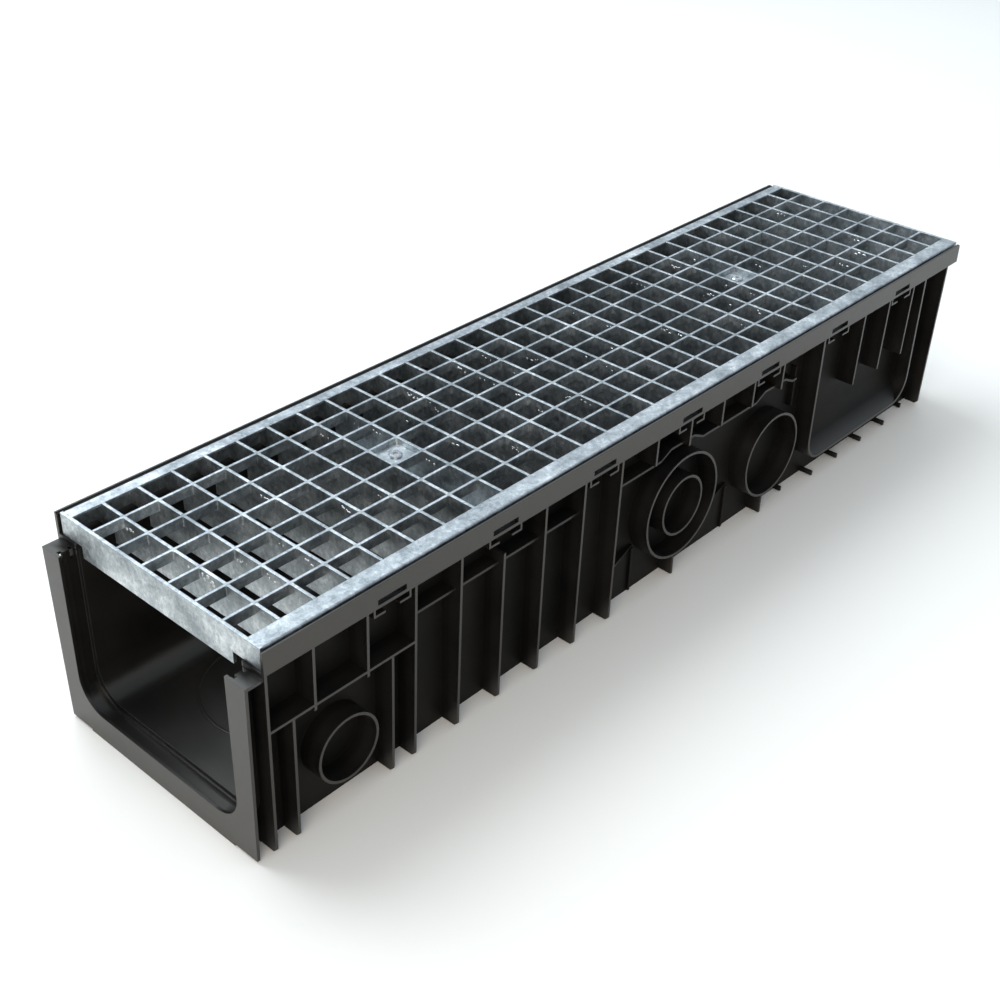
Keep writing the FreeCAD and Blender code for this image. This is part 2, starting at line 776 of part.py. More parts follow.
def lock_bar(place, middle):
    """The threaded bar below the grating that the bolt draws up under the lugs."""
    half_length = "half_inner - lock_bar_gap"
    corners = rectangle(f"{middle} - lock_bar_width / 2", f"{middle} + lock_bar_width / 2",
                        f"-({half_length})", half_length)
    bore = (middle, "mesh_middle", "bolt_diameter / 2 + thread_gap")
    sketch = new_sketch(f"lock_bar_{place}_plan", PLAN, [corners], [bore], at_z="lock_bar_height")
    return extrude(f"lock_bar_{place}", sketch, "lock_bar_thickness")


def hexagon(across_flats, middle_x, middle_y):
    """The corners of a hexagon."""
    reach = f"({across_flats}) / {math.sqrt(3):.6f}"
    turns = [math.radians(60 * number) for number in range(6)]
    return [(f"{middle_x} + {math.cos(turn):.6f} * {reach}", f"{middle_y} + {math.sin(turn):.6f} * {reach}")
            for turn in turns]


def plane_of(body, role):
    """One of a body's own base planes."""
    return next(plane for plane in body.Origin.OriginFeatures if plane.Role == role)


def lock_bolt(place, middle):
    """The round-headed bolt: turned about its axis, then given a hexagon socket."""
    body = doc.addObject("PartDesign::Body", f"lock_bolt_{place}")
    profile = body.newObject("Sketcher::SketchObject", f"bolt_profile_{place}")
    profile.AttachmentSupport = [(plane_of(body, "XZ_Plane"), "")]
    profile.MapMode = "FlatFace"
    draw(profile, [[
        ("0", "-bolt_length"), ("bolt_diameter / 2", "-bolt_length"), ("bolt_diameter / 2", "0"),
        ("bolt_head_diameter / 2", "0"), ("bolt_head_diameter / 2", "bolt_head_height - bolt_head_bevel"),
        ("bolt_head_diameter / 2 - bolt_head_bevel", "bolt_head_height"), ("0", "bolt_head_height"),
    ]])
    turned = body.newObject("PartDesign::Revolution", f"bolt_turned_{place}")
    turned.Profile = profile
    turned.ReferenceAxis = (profile, ["V_Axis"])
    turned.Angle = 360
    socket = body.newObject("Sketcher::SketchObject", f"bolt_socket_{place}")
    socket.AttachmentSupport = [(plane_of(body, "XY_Plane"), "")]
    socket.MapMode = "FlatFace"
    bind(socket, AttachmentOffset__Base__z="bolt_head_height")
    draw(socket, [hexagon("bolt_socket", "0", "0")])
    pocket = body.newObject("PartDesign::Pocket", f"bolt_pocket_{place}")
    pocket.Profile = socket
    bind(pocket, Length="bolt_socket_depth")
    body.Tip = pocket
    bind(body, Placement__Base__x=middle, Placement__Base__y="mesh_middle")
    return bind(body, Placement__Base__z="lock_plate_top")


def locks():
    """The two locks. Their like pieces share a node, as a group of two solids."""
    groups = []
    for name, make in (("lock_plates", lock_plate), ("lock_bars", lock_bar), ("lock_bolts", lock_bolt)):
        group = doc.addObject("Part::Compound", name)
        group.Links = [make(*lock) for lock in lock_middles().items()]
        groups.append(group)
    return groups


# ---------------------------------------------------------------- build and write

parts = [channel_body(), *bearing_bars(), *cross_rods(), *end_plates(), *edge_strips(), *locks()]
doc.recompute()

for thing in doc.Objects:
    if "Invalid" in thing.State or "Error" in thing.State:
        raise RuntimeError(f"{thing.Name} did not build: {thing.State}")
for part in parts:
    if part.Shape.isNull() or not part.Shape.isValid():
        raise RuntimeError(f"{part.Label} has no valid shape")

os.makedirs("parts", exist_ok=True)
for part in parts:
    part.Shape.exportStep(f"parts/{part.Label}.step")
print(f"{len(parts)} parts written")
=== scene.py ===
import json
import math
import random

import bmesh
import bpy
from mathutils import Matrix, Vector


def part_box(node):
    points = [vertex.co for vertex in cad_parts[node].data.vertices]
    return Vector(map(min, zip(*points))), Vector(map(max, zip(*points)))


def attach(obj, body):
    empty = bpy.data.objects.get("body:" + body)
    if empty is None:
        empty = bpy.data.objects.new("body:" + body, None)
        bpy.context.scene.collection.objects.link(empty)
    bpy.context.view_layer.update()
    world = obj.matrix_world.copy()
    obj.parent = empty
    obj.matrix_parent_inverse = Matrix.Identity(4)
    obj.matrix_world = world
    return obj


bl_info = {
    "name": "Channel drain",
    "version": (1, 0, 0),
    "blender": (4, 5, 0),
    "location": "3D View > Sidebar > Channel drain",
    "description": "Finishes a plastic channel drain with a galvanised mesh grating",
    "category": "Object",
}

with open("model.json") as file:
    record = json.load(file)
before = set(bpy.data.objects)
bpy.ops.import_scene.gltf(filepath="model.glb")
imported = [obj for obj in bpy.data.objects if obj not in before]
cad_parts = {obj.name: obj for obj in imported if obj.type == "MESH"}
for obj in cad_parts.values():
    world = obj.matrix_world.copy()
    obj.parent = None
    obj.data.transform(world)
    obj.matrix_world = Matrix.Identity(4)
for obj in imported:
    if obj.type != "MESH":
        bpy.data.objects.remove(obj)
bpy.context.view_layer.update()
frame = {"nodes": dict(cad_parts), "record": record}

MM = 0.001
BODY = "root"
BARS = sorted(name for name in frame["nodes"] if name.startswith("bearing_bar"))
RODS = sorted(name for name in frame["nodes"] if name.startswith("cross_rod"))
STRIPS = ["edge_strip_right", "edge_strip_left"]
PLATES = ["end_plate_near", "end_plate_far"]
LOCK_STEEL = ["lock_plates", "lock_bars"]

PLASTIC = "black_polypropylene_moulded"
ZINC = "galvanised_steel_hot_dipped"

# Places on the channel body, from its middle line and the ground.
WALL_FACE = 103.5 * MM
FLOOR_TOP = 26 * MM
RAIL_BOTTOM = 175.5 * MM
COLLAR_LENGTH = 16 * MM
# Places along the channel, from the near rib.
OUTLET_PLACE = 110 * MM
CLIP_FIRST, CLIP_PITCH, CLIP_COUNT = 123.5 * MM, 125.4 * MM, 7
WEB_SPANS = ((401 * MM, 450 * MM), (545 * MM, 601 * MM))
# The webs beside the large spigot. The taper is the share of their reach that is left at the far end.
WEB_HEIGHT, WEB_THICKNESS, WEB_TAPER = 53 * MM, 1.6 * MM, 0.16
# The outlet disc: the width of its raised rim, the seam inside it, and the share of the rise it is sunk by.
RIM_WIDTH, SEAM_WIDTH, SUNK_SHARE = 2.2 * MM, 0.6 * MM, 0.7
# The socket's U: the middles of its bends, its top, and the strip that runs round it.
BEND_Y, BEND_Z, SOCKET_TOP = 73 * MM, 51 * MM, 171.5 * MM
SHOULDER_OUTSIDE, SHOULDER_WIDTH, SHOULDER_LENGTH, SHOULDER_GAP = 105.4 * MM, 4.3 * MM, 2.1 * MM, 0.2 * MM
RIM_ROUNDING, HOOK_ROUNDING = 0.3 * MM, 0.25 * MM
TOLERANCE = 0.01 * MM

# Where the painted shade of the bays between the ribs begins: along the channel, and out from its middle
# line.
END_FACE_RANGE = (-503 * MM, -497 * MM)
SIDE_RANGE = (98 * MM, 124 * MM)

# The zinc in the mesh's corners: its half width, how far it stops below the rods, and its narrowing below.
CORNER_RADIUS, CORNER_GAP, CORNER_TAPER = 3.7 * MM, 0.15 * MM, 0.86
# Zinc drips: sizes and depths are in millimetres, and places in shares of the pitch between two rods.
DRIP_SEED, DRIP_GROUPS, GROUP_COUNT = 7, 75, (1, 3)
DRIP_SIZE, DRIP_DEPTH, DRIP_SPREAD, DRIP_STEP = (0.45, 1.1), (2, 7), (0, 3), (2, 7)
DRIP_START, DRIP_LIMIT = (0.15, 0.7), 0.88
# The sides of a drip, as shares of its size: across the bar's face, along it, and down.
DRIP_THICKNESS, DRIP_LENGTH, DRIP_HEIGHT = 0.7, (0.7, 2.2), (0.7, 1.6)

FLOOR_SIZE, FLOOR_GAP = 14, 0.2 * MM
# Each lamp: name, place, size, power and colour.
LAMPS = (
    ("key_light", (-0.3, 1.9, 2.7), 2.8, 88, (0.88, 0.95, 1.0)),
    ("fill_light", (-2.3, -1.5, 1.5), 2.2, 41, (1.0, 0.88, 0.75)),
    ("rim_light", (1.8, 0.6, 2.2), 2.4, 12, (0.93, 0.97, 1.0)),
)
LAMP_TARGET = Vector((0, 0, 0.1))
SKY_COLOUR, SKY_STRENGTH = (0.76, 0.88, 1.0, 1), 0.63
# The camera's place in metres and its turn in degrees.
CAMERA_PLACE = (-0.9678, -0.7610, 0.8374)
CAMERA_TURN = (56.781, -1.379, -47.524)


# ---------------------------------------------------------------- colours and nodes

def linear(code):
    """An sRGB hex colour as the linear colour that a shader takes."""
    channels = [int(code[place:place + 2], 16) / 255 for place in (0, 2, 4)]
    return tuple(c / 12.92 if c <= 0.04045 else ((c + 0.055) / 1.055) ** 2.4 for c in channels)


def add_node(tree, kind, links=None, **settings):
    """Adds a node. A setting that starts with in_ names or numbers an input, and others name a property."""
    node = tree.nodes.new(kind)
    for key, setting in settings.items():
        if key.startswith("in_"):
            name = key[3:].replace("_", " ")
            socket = node.inputs[int(name)] if name.isdigit() else node.inputs[name]
            socket.default_value = setting
        else:
            setattr(node, key, setting)
    for key, output in (links or {}).items():
        tree.links.new(output, node.inputs[key])
    return node


def new_material(name, **settings):
    """A material with one shader, and the coordinates of its object."""
    material = bpy.data.materials.new(name)
    material.use_nodes = True
    tree = material.node_tree
    shader = tree.nodes["Principled BSDF"]
    for key, setting in settings.items():
        shader.inputs[key.replace("_", " ")].default_value = setting
    place = add_node(tree, "ShaderNodeTexCoord").outputs["Object"]
    return material, tree, shader, place


def colour_ramp(tree, factor, stops):
    """A blend between colours at given positions."""
    ramp = add_node(tree, "ShaderNodeValToRGB", {0: factor})
    elements = ramp.color_ramp.elements
    while len(elements) < len(stops):
        elements.new(0.5)
    for element, (position, colour) in zip(elements, stops):
        element.position = position
        element.color = (*colour, 1)
    return ramp.outputs["Color"]


def number_range(tree, factor, low, high, span=(0.0, 1.0)):
    """A number that goes from low to high while a pattern goes through a span."""
    node = add_node(tree, "ShaderNodeMapRange", {0: factor}, in_1=span[0], in_2=span[1], in_3=low, in_4=high)
    return node.outputs[0]


def noise(tree, place, size_mm, detail=2.0, roughness=0.5, stretch=None):
    """Soft noise whose lumps are about a size across."""
    if stretch:
        place = add_node(tree, "ShaderNodeMapping", {0: place}, in_Scale=stretch).outputs[0]
    node = add_node(tree, "ShaderNodeTexNoise", {"Vector": place}, in_Scale=1 / (size_mm * MM),
                    in_Detail=detail, in_Roughness=roughness)
    return node.outputs[0]


def add_up(tree, first, second):
    """The sum of two numbers."""
    return add_node(tree, "ShaderNodeMath", operation="ADD", links={0: first, 1: second}).outputs[0]


def add_share(tree, base, pattern, share):
    """A number with a share of a pattern added."""
    return add_node(tree, "ShaderNodeMath", operation="MULTIPLY_ADD", links={0: pattern, 2: base},
                    in_1=share).outputs[0]


def add_relief(tree, shader, height, edge_mm, strength, depth_mm):
    """Rounds the edges for the light and raises the surface by a pattern."""
    rounding = add_node(tree, "ShaderNodeBevel", samples=4, in_Radius=edge_mm * MM)
    bump = add_node(tree, "ShaderNodeBump", {"Height": height, "Normal": rounding.outputs[0]},
                    in_Strength=strength, in_Distance=depth_mm * MM)
    tree.links.new(bump.outputs[0], shader.inputs["Normal"])


def unshaded_places(tree, place):
    """One on the outer edges, the end face and inside the trough, and none on the walls between the ribs,
    which get painted shade.
    """
    parts = add_node(tree, "ShaderNodeSeparateXYZ", {0: place})
    end_face = number_range(tree, parts.outputs[0], 1, 0, END_FACE_RANGE)
    aside = add_node(tree, "ShaderNodeMath", operation="ABSOLUTE", links={0: parts.outputs[1]}).outputs[0]
    aside = number_range(tree, aside, 0, 1, SIDE_RANGE)
    bright, dull = (1, 1, 1), (0, 0, 0)
    # Dull marks the painted shade on the walls between the ribs; bright marks the faces that keep their full
    # reflection.
    sides = colour_ramp(tree, aside, [(0.12, bright), (0.18, dull), (0.5, dull), (0.95, bright)])
    return add_node(tree, "ShaderNodeMath", operation="MAXIMUM", links={0: sides, 1: end_face}).outputs[0]


def black_polypropylene(colours):
    """Injection-moulded black polypropylene: satin outer faces with a faint grain, and deep bays that are
    rougher and reflect less, as painted shade.
    """
    # The warm tint of the plastic's reflections is a painted warm reflection of the warm light around it.
    material, tree, shader, place = new_material(PLASTIC, IOR=1.62, Specular_Tint=(1.0, 0.94, 0.87, 1))
    flow = noise(tree, place, 60, detail=3)
    grain = noise(tree, place, 1.6, detail=2)
    scuffs = noise(tree, place, 9, detail=6, roughness=0.7)
    colour = colour_ramp(tree, flow, [(0.3, colours.plastic_dark), (0.75, colours.plastic_light)])
    tree.links.new(colour, shader.inputs["Base Color"])
    unshaded = unshaded_places(tree, place)
    # The bays reflect less than the outer faces: painted shade for the dark recesses between the ribs.
    tree.links.new(number_range(tree, unshaded, 0.1, 0.55), shader.inputs["Specular IOR Level"])
    rough = add_up(tree, number_range(tree, flow, 0.24, 0.40), number_range(tree, scuffs, -0.03, 0.06))
    rough = add_up(tree, rough, number_range(tree, unshaded, 0.2, 0))
    tree.links.new(rough, shader.inputs["Roughness"])
    add_relief(tree, shader, grain, edge_mm=0.5, strength=0.08, depth_mm=0.1)
    return material


def galvanised_steel(colours):
    """Hot-dip galvanised steel: pale metal with fine spangle, a dull bloom and small bright flecks."""
    material, tree, shader, place = new_material(ZINC, Metallic=1.0)
    warp = add_node(tree, "ShaderNodeTexNoise", {"Vector": place}, in_Scale=1 / (5 * MM), in_Detail=3.0)
    shifted = add_node(tree, "ShaderNodeVectorMath", operation="MULTIPLY_ADD",
                       links={0: warp.outputs["Color"], 2: place}, in_1=(3 * MM, 3 * MM, 3 * MM))
    cells = add_node(tree, "ShaderNodeTexVoronoi", {"Vector": shifted.outputs[0]}, in_Scale=1 / (3.5 * MM))
    spangle = add_node(tree, "ShaderNodeSeparateColor", {0: cells.outputs["Color"]}).outputs[0]
    bloom = noise(tree, place, 30, detail=5, roughness=0.6)
    grit = noise(tree, place, 1.3, detail=3, roughness=0.7)
    streaks = noise(tree, place, 3, detail=4, roughness=0.6, stretch=(1, 1, 0.4))
    tones = bloom
    for pattern, share in ((spangle, 0.18), (grit, 0.45), (streaks, 0.25)):
        tones = add_share(tree, tones, pattern, share)
    colour = colour_ramp(tree, number_range(tree, tones, 0, 1, (0.66, 1.32)), [
        (0.1, colours.zinc_dark), (0.5, colours.zinc_middle), (0.9, colours.zinc_light)])
    tree.links.new(colour, shader.inputs["Base Color"])
    rough = add_up(tree, number_range(tree, spangle, 0.40, 0.48), number_range(tree, grit, -0.05, 0.08))
    tree.links.new(rough, shader.inputs["Roughness"])
    add_relief(tree, shader, add_share(tree, streaks, grit, 0.6), edge_mm=0.9, strength=0.3, depth_mm=0.35)
    return material


def zinc_plated_steel(colours):
    """Bright zinc-plated steel: a smoother, lightly turned metal than the dipped parts round it."""
    material, tree, shader, place = new_material("zinc_plated_steel_turned", Metallic=1.0)
    stain = noise(tree, place, 4, detail=4)
    colour = colour_ramp(tree, stain, [(0.3, colours.zinc_middle), (0.7, colours.bolt)])
    tree.links.new(colour, shader.inputs["Base Color"])
    tree.links.new(number_range(tree, stain, 0.16, 0.34), shader.inputs["Roughness"])
    add_relief(tree, shader, stain, edge_mm=0.3, strength=0.1, depth_mm=0.1)
    return material


def highlight_zinc(colours):
    """Drops of fresh zinc: the smoothest metal on the grating, nearly white in colour, which is partly their
    fresh zinc and partly a painted highlight for the white dots they show.
    """
    material, tree, shader, place = new_material("zinc_drops_bright", Metallic=1.0)
    film = noise(tree, place, 2, detail=3)
    colour = colour_ramp(tree, film, [(0.3, colours.zinc_light), (0.7, colours.zinc_drop_highlight)])
    tree.links.new(colour, shader.inputs["Base Color"])
    tree.links.new(number_range(tree, film, 0.25, 0.5), shader.inputs["Roughness"])
    return material


def finish_nodes(names, material):
    """Gives CAD nodes a material."""
    for name in names:
        mesh = frame["nodes"][name].data
        mesh.materials.clear()
        mesh.materials.append(material)


# ---------------------------------------------------------------- modelling helpers

def start(operator, **settings):
    """Adds a primitive with nothing else selected and returns it."""
    if bpy.context.mode != "OBJECT":
        bpy.ops.object.mode_set(mode="OBJECT")
    bpy.ops.object.select_all(action="DESELECT")
    operator(**settings)
    return bpy.context.object


def select_only(piece):
    """Selects one object and makes it the active one."""
    bpy.ops.object.select_all(action="DESELECT")
    piece.select_set(True)
    bpy.context.view_layer.objects.active = piece


def apply_place(piece):
    """Moves an object's place, turn and scale into its mesh."""
    select_only(piece)
    bpy.ops.object.transform_apply(location=True, rotation=True, scale=True)


def rectangle(middle, length, width):
    """A level rectangle with its length along the channel."""
    piece = start(bpy.ops.mesh.primitive_plane_add, size=1, location=middle)
    piece.scale = (length, width, 1)
    apply_place(piece)
    return piece


def modify(piece, kind, **settings):
    """Adds a modifier and applies it."""
    select_only(piece)
    modifier = piece.modifiers.new(kind.lower(), kind)
    for key, setting in settings.items():
        setattr(modifier, key, setting)
    bpy.ops.object.modifier_apply(modifier=modifier.name)


def round_edges(piece, width):
    """Rounds the sharp edges of a piece."""
    modify(piece, "BEVEL", width=width, segments=2, limit_method="ANGLE")


def repeat(piece, count, step):
    """Repeats a piece in a row."""
    modify(piece, "ARRAY", count=count, use_relative_offset=False, use_constant_offset=True,
           constant_offset_displace=step)


def select_faces(piece, test):
    """In edit mode, selects the faces that pass a test on their middle and normal."""
    mesh = bmesh.from_edit_mesh(piece.data)
    bpy.ops.mesh.select_mode(type="FACE")
    bpy.ops.mesh.select_all(action="DESELECT")
    for face in mesh.faces:
        face.select_set(test(face.calc_center_median(), face.normal))
    bmesh.update_edit_mesh(piece.data)


def select_edges(piece, test):
    """In edit mode, selects the edges whose middle passes a test."""
    mesh = bmesh.from_edit_mesh(piece.data)
    bpy.ops.mesh.select_mode(type="EDGE")
    bpy.ops.mesh.select_all(action="DESELECT")
    for edge in mesh.edges:
        if test((edge.verts[0].co + edge.verts[1].co) / 2):
            edge.select_set(True)
    bmesh.update_edit_mesh(piece.data)


def face_outwards():
    """In edit mode, turns all faces of a closed shape outwards."""
    bpy.ops.mesh.select_all(action="SELECT")
    bpy.ops.mesh.normals_make_consistent(inside=False)


def push(offset):
    """Extrudes what is selected by an offset."""
    bpy.ops.mesh.extrude_region_move(TRANSFORM_OT_translate={"value": offset})


def copy_at(piece, place):
    """A copy with its own mesh, at a place."""
    other = piece.copy()
    other.data = piece.data.copy()
    bpy.context.collection.objects.link(other)
    other.location = place
    return other


def join(pieces):
    """Joins pieces into one."""
    bpy.ops.object.select_all(action="DESELECT")
    for piece in pieces:
        piece.select_set(True)
    bpy.context.view_layer.objects.active = pieces[0]
    bpy.ops.object.join()
    apply_place(bpy.context.object)
    return bpy.context.object


def finish(piece, name, material, angle=35):
    """Names a piece, smooths it, gives it its material and rides it on the body."""
    piece.name = name
    piece.data.name = name
    select_only(piece)
    bpy.ops.object.shade_smooth_by_angle(angle=math.radians(angle))
    piece.data.materials.clear()
    piece.data.materials.append(material)
    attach(piece, BODY)


def finish_plastic(piece, name):
    """Finishes a piece that belongs to the channel body."""
    finish(piece, name, bpy.data.materials[PLASTIC])


# ---------------------------------------------------------------- settings

class DrainColours(bpy.types.PropertyGroup):
    """The colours of the drain's finishes."""
    plastic_dark: bpy.props.FloatVectorProperty(
        name="Plastic, dark", description="Darker tone of the black plastic", subtype="COLOR",
        default=linear("0b0b0b"), min=0, max=1)
    plastic_light: bpy.props.FloatVectorProperty(
        name="Plastic, light", description="Lighter tone of the black plastic", subtype="COLOR",
        default=linear("1a1816"), min=0, max=1)
    zinc_dark: bpy.props.FloatVectorProperty(
        name="Zinc, dark", description="Darkest spangle of the galvanised steel", subtype="COLOR",
        default=linear("8b9296"), min=0, max=1)
    zinc_middle: bpy.props.FloatVectorProperty(
        name="Zinc, middle", description="Middle tone of the galvanised steel", subtype="COLOR",
        default=linear("b8bec1"), min=0, max=1)
    zinc_light: bpy.props.FloatVectorProperty(
        name="Zinc, light", description="Lightest spangle of the galvanised steel", subtype="COLOR",
        default=linear("eaedee"), min=0, max=1)
    # The drops' near-white colour is partly fresh zinc and partly a painted highlight.
    zinc_drop_highlight: bpy.props.FloatVectorProperty(
        name="Zinc, drops", description="Fresh zinc of the drops", subtype="COLOR",
        default=linear("fafafa"), min=0, max=1)
    bolt: bpy.props.FloatVectorProperty(
        name="Bolt", description="Zinc plating of the bolts", subtype="COLOR",
        default=linear("d9dadb"), min=0, max=1)
    floor: bpy.props.FloatVectorProperty(
        name="Floor", description="Colour of the floor", subtype="COLOR",
        default=linear("f8f5ef"), min=0, max=1)


class DrainSizes(bpy.types.PropertyGroup):
    """The sizes of what is added to the solid parts."""
    spigot_wall: bpy.props.FloatProperty(
        name="Spigot wall", description="Wall thickness of a spigot", default=2.5 * MM, unit="LENGTH")
    ring_radius: bpy.props.FloatProperty(
        name="Outlet radius", description="Radius of the disc that is cut out for a bottom outlet",
        default=69 * MM, unit="LENGTH")
    ring_rise: bpy.props.FloatProperty(
        name="Outlet rise", description="How far the disc stands above the floor", default=0.8 * MM,
        unit="LENGTH")
    hook_span: bpy.props.FloatProperty(
        name="Hook span", description="Outer distance across a pair of clip hooks", default=39 * MM,
        unit="LENGTH")
    hook_reach: bpy.props.FloatProperty(
        name="Hook reach", description="Length of a clip hook's arm", default=12 * MM, unit="LENGTH")
    hook_drop: bpy.props.FloatProperty(
        name="Hook drop", description="Height of a clip hook", default=7 * MM, unit="LENGTH")
    hook_thickness: bpy.props.FloatProperty(
        name="Hook thickness", description="Thickness of a clip hook", default=2 * MM, unit="LENGTH")
    hook_depth: bpy.props.FloatProperty(
        name="Hook depth", description="Depth of a clip hook across the channel", default=12 * MM,
        unit="LENGTH")
    web_reach: bpy.props.FloatProperty(
        name="Web reach", description="How far the webs beside the large spigot stand out", default=15 * MM,
        unit="LENGTH")
    lens: bpy.props.FloatProperty(
        name="Lens", description="Focal length of the camera", default=52.77, min=1)


# ---------------------------------------------------------------- finishes of the solid parts

class FinishChannel(bpy.types.Operator):
    """Gives the channel body its moulded black plastic"""
    bl_idname = "channel_drain.finish_channel"
    bl_label = "Finish the channel body"

    def execute(self, context):
        finish_nodes(["channel_body"], black_polypropylene(context.scene.drain_colours))
        return {"FINISHED"}


class FinishGrating(bpy.types.Operator):
    """Gives the bars, rods, plates and strips of the grating their galvanised steel"""
    bl_idname = "channel_drain.finish_grating"
    bl_label = "Finish the grating"

    def execute(self, context):
        material = galvanised_steel(context.scene.drain_colours)
        finish_nodes(BARS + RODS + STRIPS + PLATES + LOCK_STEEL, material)
        return {"FINISHED"}


class FinishBolts(bpy.types.Operator):
    """Gives the locking bolts their bright zinc plating"""
    bl_idname = "channel_drain.finish_bolts"
    bl_label = "Finish the bolts"

    def execute(self, context):
        finish_nodes(["lock_bolts"], zinc_plated_steel(context.scene.drain_colours))
        return {"FINISHED"}


# ---------------------------------------------------------------- moulded details

def near_face():
    """Where the channel's ribs begin, behind the socket collar."""
    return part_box("channel_body")[0].x + COLLAR_LENGTH


def outer_face():
    """How far the rail and the ribs stand out on the left."""
    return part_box("channel_body")[1].y


def ring(x, z, radius, wall):
    """An open tube on the left wall, with rounded rims."""
    length = outer_face() - WALL_FACE
    piece = start(bpy.ops.mesh.primitive_cylinder_add, vertices=96, radius=radius, depth=length,
                  end_fill_type="NOTHING", location=(x, WALL_FACE + length / 2, z),
                  rotation=(math.pi / 2, 0, 0))
    apply_place(piece)
    modify(piece, "SOLIDIFY", thickness=wall, offset=-1)
    round_edges(piece, RIM_ROUNDING)
    return piece


class AddLeftSpigots(bpy.types.Operator):
    """Adds the pipe spigots of the left side, which mirror those of the right"""
    bl_idname = "channel_drain.add_left_spigots"
    bl_label = "Left spigots"

    def execute(self, context):
        wall = context.scene.drain_sizes.spigot_wall
        pins = {mount["name"].split("_")[0]: mount for mount in frame["record"]["mounts"]
                if mount["kind"] == "pin"}
        rings = []
        # The large spigot holds a second ring of the small size.
        for place, size in (("small", "small"), ("middle", "middle"), ("large", "large"), ("large", "small")):
            x, _, z = pins[place]["pos_m"]
            rings.append(ring(x, z, pins[size]["dims"]["r_mm"] * MM, wall))
        finish_plastic(join(rings), "left_spigots")
        return {"FINISHED"}


def clip_hook(side, sizes):
    """One hook of a pair: a short post under the rail with an arm towards the other hook."""
    thick = sizes.hook_thickness
    bottom = RAIL_BOTTOM - sizes.hook_drop
    post = near_face() + CLIP_FIRST + side * (sizes.hook_span - thick) / 2
    hook = start(bpy.ops.mesh.primitive_plane_add, size=thick, rotation=(math.pi / 2, 0, 0),
                 location=(post, outer_face() - sizes.hook_depth, bottom + thick / 2))
    apply_place(hook)
    bpy.ops.object.mode_set(mode="EDIT")
    select_edges(hook, lambda middle: middle.z > bottom + 0.9 * thick)
    push((0, 0, sizes.hook_drop - thick))
    inner = post - side * thick / 2
    select_edges(hook, lambda middle: abs(middle.x - inner) < TOLERANCE and middle.z < bottom + 0.9 * thick)
    push((-side * (sizes.hook_reach - thick), 0, 0))
    bpy.ops.mesh.select_all(action="SELECT")
    push((0, sizes.hook_depth, 0))
    face_outwards()
    bpy.ops.object.mode_set(mode="OBJECT")
    return hook


class AddLeftHooks(bpy.types.Operator):
    """Adds the clip hooks of the left side below the windows in the rail"""
    bl_idname = "channel_drain.add_left_hooks"
    bl_label = "Left clip hooks"

    def execute(self, context):
        pair = join([clip_hook(side, context.scene.drain_sizes) for side in (-1, 1)])
        round_edges(pair, HOOK_ROUNDING)
        repeat(pair, CLIP_COUNT, (CLIP_PITCH, 0, 0))
        finish_plastic(pair, "left_clip_hooks")
        return {"FINISHED"}


class AddOutletDisc(bpy.types.Operator):
    """Adds the raised disc in the floor that is cut out for a bottom outlet"""
    bl_idname = "channel_drain.add_outlet_disc"
    bl_label = "Outlet disc"

    def execute(self, context):
        sizes = context.scene.drain_sizes
        disc = start(bpy.ops.mesh.primitive_cylinder_add, vertices=128, radius=sizes.ring_radius,
                     depth=2 * sizes.ring_rise, end_fill_type="NGON",
                     location=(near_face() + OUTLET_PLACE, 0, FLOOR_TOP))
        apply_place(disc)
        bpy.ops.object.mode_set(mode="EDIT")
        select_faces(disc, lambda middle, normal: normal.z > 0.9)
        bpy.ops.mesh.inset(thickness=RIM_WIDTH)
        push((0, 0, -SUNK_SHARE * sizes.ring_rise))
        bpy.ops.mesh.inset(thickness=SEAM_WIDTH)
        bpy.ops.object.mode_set(mode="OBJECT")
        round_edges(disc, RIM_ROUNDING)
        finish_plastic(disc, "outlet_disc")
        return {"FINISHED"}


class AddSocketShoulder(bpy.types.Operator):
    """Adds the shoulder at the bottom of the socket, which the next channel's tongue meets"""
    bl_idname = "channel_drain.add_socket_shoulder"
    bl_label = "Socket shoulder"

    def execute(self, context):
        begin = near_face() + SHOULDER_GAP
        strip = rectangle((begin + SHOULDER_LENGTH / 2, SHOULDER_OUTSIDE - SHOULDER_WIDTH / 2, SOCKET_TOP),
                          SHOULDER_LENGTH, SHOULDER_WIDTH)
        bpy.ops.object.mode_set(mode="EDIT")
        bpy.ops.mesh.select_all(action="SELECT")
        depth = SOCKET_TOP - BEND_Z
        push((0, 0, -depth))
        for bend, run in ((BEND_Y, (0, -2 * BEND_Y, 0)), (-BEND_Y, (0, 0, depth))):
            bpy.ops.mesh.spin(steps=12, angle=math.pi / 2, center=(begin, bend, BEND_Z), axis=(1, 0, 0))
            push(run)
        bpy.ops.mesh.select_all(action="SELECT")
        bpy.ops.mesh.remove_doubles(threshold=TOLERANCE)
        face_outwards()
        bpy.ops.object.mode_set(mode="OBJECT")
        finish_plastic(strip, "socket_shoulder")
        return {"FINISHED"}


class AddSpigotWebs(bpy.types.Operator):
    """Adds the small level webs that brace the wall on either side of the large spigot"""
    bl_idname = "channel_drain.add_spigot_webs"
    bl_label = "Spigot webs"

    def execute(self, context):
        reach = context.scene.drain_sizes.web_reach
        webs = []
        for begin, end in WEB_SPANS:
            length, far = end - begin, near_face() + end
            for side in (-1, 1):
                web = rectangle((far - length / 2, side * (WALL_FACE + reach / 2), WEB_HEIGHT), length, reach)
                bpy.ops.object.mode_set(mode="EDIT")
                select_edges(web, lambda middle: middle.x > far - TOLERANCE)
                bpy.ops.transform.resize(value=(1, WEB_TAPER, 1),
                                         center_override=(far, side * WALL_FACE, WEB_HEIGHT))
                bpy.ops.object.mode_set(mode="OBJECT")
                webs.append(web)
        piece = join(webs)
        modify(piece, "SOLIDIFY", thickness=WEB_THICKNESS, offset=0)
        finish_plastic(piece, "spigot_webs")
        return {"FINISHED"}


# ---------------------------------------------------------------- zinc on the grating

